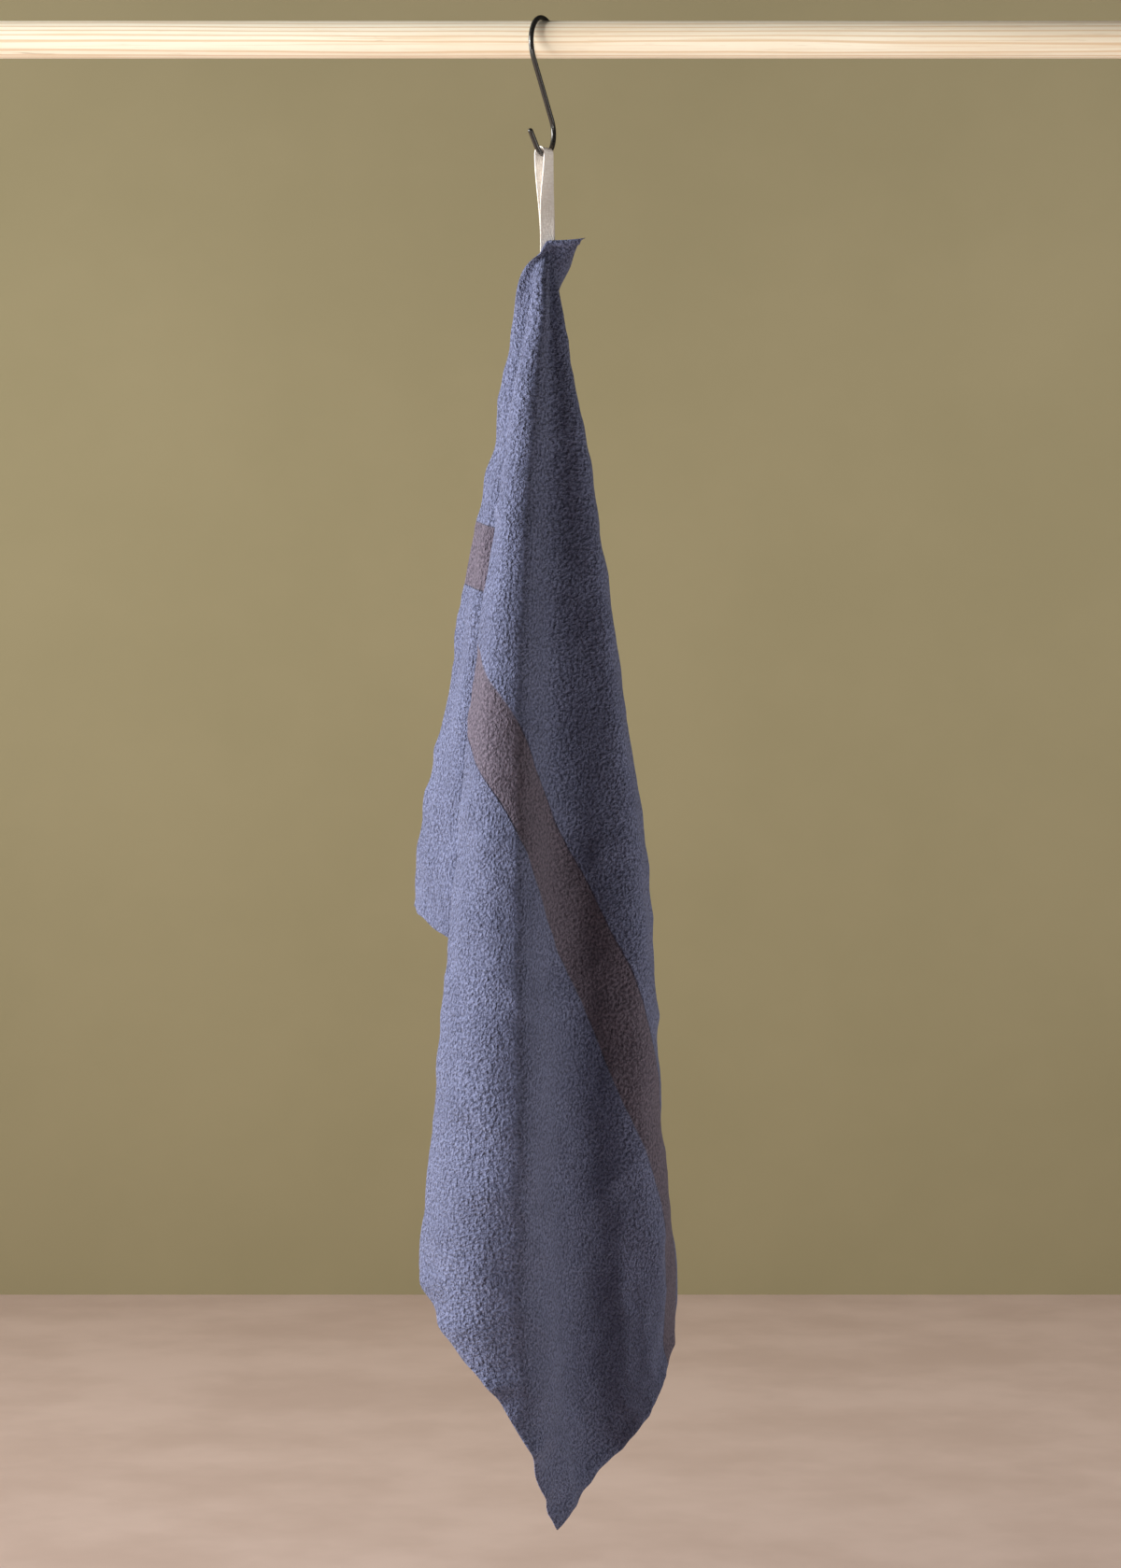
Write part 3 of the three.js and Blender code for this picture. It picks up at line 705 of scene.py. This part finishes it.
def low_puckers(v, off_low):
    """Height of the puckers that the stitches draw up along the low left hem."""
    height = np.zeros_like(v)
    for place, tall in LOW_PUCKERS:
        reached = tall * (1 - smooth(0, LOW_PUCKER["reach"], off_low))
        height += reached * bell(v - place - LOW_PUCKER["lean"] * off_low, LOW_PUCKER["half"])
    return height


def hem_thickness(nearest, roll):
    """Thickness of the cloth by its distance to the nearest edge, with the rolled corner added."""
    thick = CLOTH_THICK + roll
    thick = thick + HEM_EXTRA * (1 - smooth(*HEM_FADE, nearest))
    thick -= STITCH_DEPTH * bell(nearest - STITCH_LINE, STITCH_SPREAD)
    return thick * (EDGE_SHARE + (1 - EDGE_SHARE) * smooth(0, EDGE_ROUND, nearest))


def towel():
    lines_u = cloth_lines(CLOTH_WIDTH)
    lines_v = cloth_lines(CLOTH_LENGTH)
    u, v = np.meshgrid(lines_u, lines_v, indexing="ij")
    off_low, off_long = CLOTH_WIDTH - u, CLOTH_LENGTH - v
    points, angle, length = cloth_surface(u, v)
    along_u = np.gradient(points, lines_u, axis=0)
    along_v = np.gradient(points, lines_v, axis=1)
    normal = np.cross(along_u, along_v)
    normal /= np.maximum(np.linalg.norm(normal, axis=2, keepdims=True), 1e-9)
    calm = smooth(*CALM_NEAR_SEWN, length)
    height = unevenness(u, v, angle, length)
    edges = ((u, v, along_u), (off_low, v, -along_u), (v, u, along_v), (off_long, u, -along_v))
    for (inset, run, inward), seed in zip(edges, EDGE_SEEDS):
        raised, moved = pucker_hem(inset, run, inward, seed, calm)
        height += raised
        points += moved
    height += low_puckers(v, off_low)
    sag = SAG["drop"] * bell(v - SAG["middle"], SAG["half"])
    points[..., 2] -= sag * (1 - smooth(0, SAG["reach"], off_low))
    points += blunt_tip(off_low, off_long)
    roll = EAR_ROLL * (1 - smooth(*EAR_ROLL_WIDTH, v)) * (1 - smooth(*EAR_ROLL_LENGTH, u))
    thick = hem_thickness(np.minimum.reduce([inset for inset, _, _ in edges]), roll)
    middle = points + (height + roll / 2)[..., None] * normal
    upper = middle + thick[..., None] / 2 * normal
    lower = middle - thick[..., None] / 2 * normal
    return sheet_object("linen_towel", upper, lower, np.stack([u, v], -1), linen_material())


def sheet_object(name, upper, lower, flat, material):
    """A closed thin sheet from two grids of points."""
    rows, columns = upper.shape[:2]
    index = np.arange(rows * columns).reshape(rows, columns)
    a, b, c, d = index[:-1, :-1], index[1:, :-1], index[1:, 1:], index[:-1, 1:]
    front = np.stack([a, b, c, d], -1).reshape(-1, 4)
    back = front[:, ::-1] + rows * columns
    ring = np.concatenate([index[:-1, 0], index[-1, :-1], index[:0:-1, -1], index[0, :0:-1]])
    after = np.roll(ring, -1)
    rim = np.stack([after, ring, ring + rows * columns, after + rows * columns], -1)
    faces = np.concatenate([front, back, rim])
    points = np.concatenate([upper.reshape(-1, 3), lower.reshape(-1, 3)])
    both = np.concatenate([flat.reshape(-1, 2)] * 2)
    return make_object(name, points, faces, material, both)


# Stage, light and camera


def plane(name, corners, material):
    obj = make_object(name, corners, [(0, 1, 2, 3)], material)


def stage():
    h, z, y = STAGE_HALF, FLOOR_Z, BACKDROP_Y
    floor = stage_material("pale_floor", rgb(0.67, 0.51, 0.44), rgb(0.77, 0.60, 0.53), 3)
    paper = stage_material("backdrop_paper", rgb(0.36, 0.315, 0.18), rgb(0.385, 0.335, 0.195), 1.5)
    plane("floor", [(-h, -h, z), (h, -h, z), (h, y, z), (-h, y, z)], floor)
    plane("backdrop", [(-h, y, z), (h, y, z), (h, y, h), (-h, y, h)], paper)


def area_light(name, place, target, size, power, colour, spread):
    light = bpy.data.lights.new(name, "AREA")
    light.shape = "RECTANGLE"
    light.size, light.size_y = size
    light.energy = power
    light.spread = math.radians(spread)
    light.color = colour
    obj = bpy.data.objects.new(name, light)
    obj.location = place
    obj.rotation_euler = (Vector(target) - Vector(place)).to_track_quat("-Z", "Y").to_euler()
    obj.visible_camera = False
    bpy.context.scene.collection.objects.link(obj)


def lights():
    for row in LIGHTS:
        area_light(*row)
    world = bpy.data.worlds.new("studio")
    world.use_nodes = True
    sky = world.node_tree.nodes["Background"]
    sky.inputs["Color"].default_value = rgb(1.0, 0.96, 0.92)
    sky.inputs["Strength"].default_value = SKY_STRENGTH
    bpy.context.scene.world = world


def camera():
    data = bpy.data.cameras.new("camera")
    data.sensor_width = SENSOR
    data.lens = SENSOR * CAMERA_BACK / (FRAME_HEIGHT_PX * SCALE)
    data.clip_end = CLIP_END
    obj = bpy.data.objects.new("camera", data)
    obj.location = (0, -CAMERA_BACK * MM, (RAIL_PX - FRAME_HEIGHT_PX / 2) * SCALE * MM)
    obj.rotation_euler = (math.pi / 2, 0, 0)
    bpy.context.scene.collection.objects.link(obj)
    bpy.context.scene.camera = obj


def dress():
    rod = rail()
    wire = hook()
    strip, strip_length = tape()
    cloth = towel()
    pieces = (
        (rod, "rail", "wood"),
        (wire, "hook", "black_wire"),
        (strip, "hanging_loop", "white_tape"),
        (cloth, "towel", "blue_linen"),
    )
    for piece, node, slot in pieces:
        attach(piece, "root")
        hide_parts(node)


dress()
stage()
lights()
camera()
bpy.context.scene.view_settings.view_transform = "Standard"
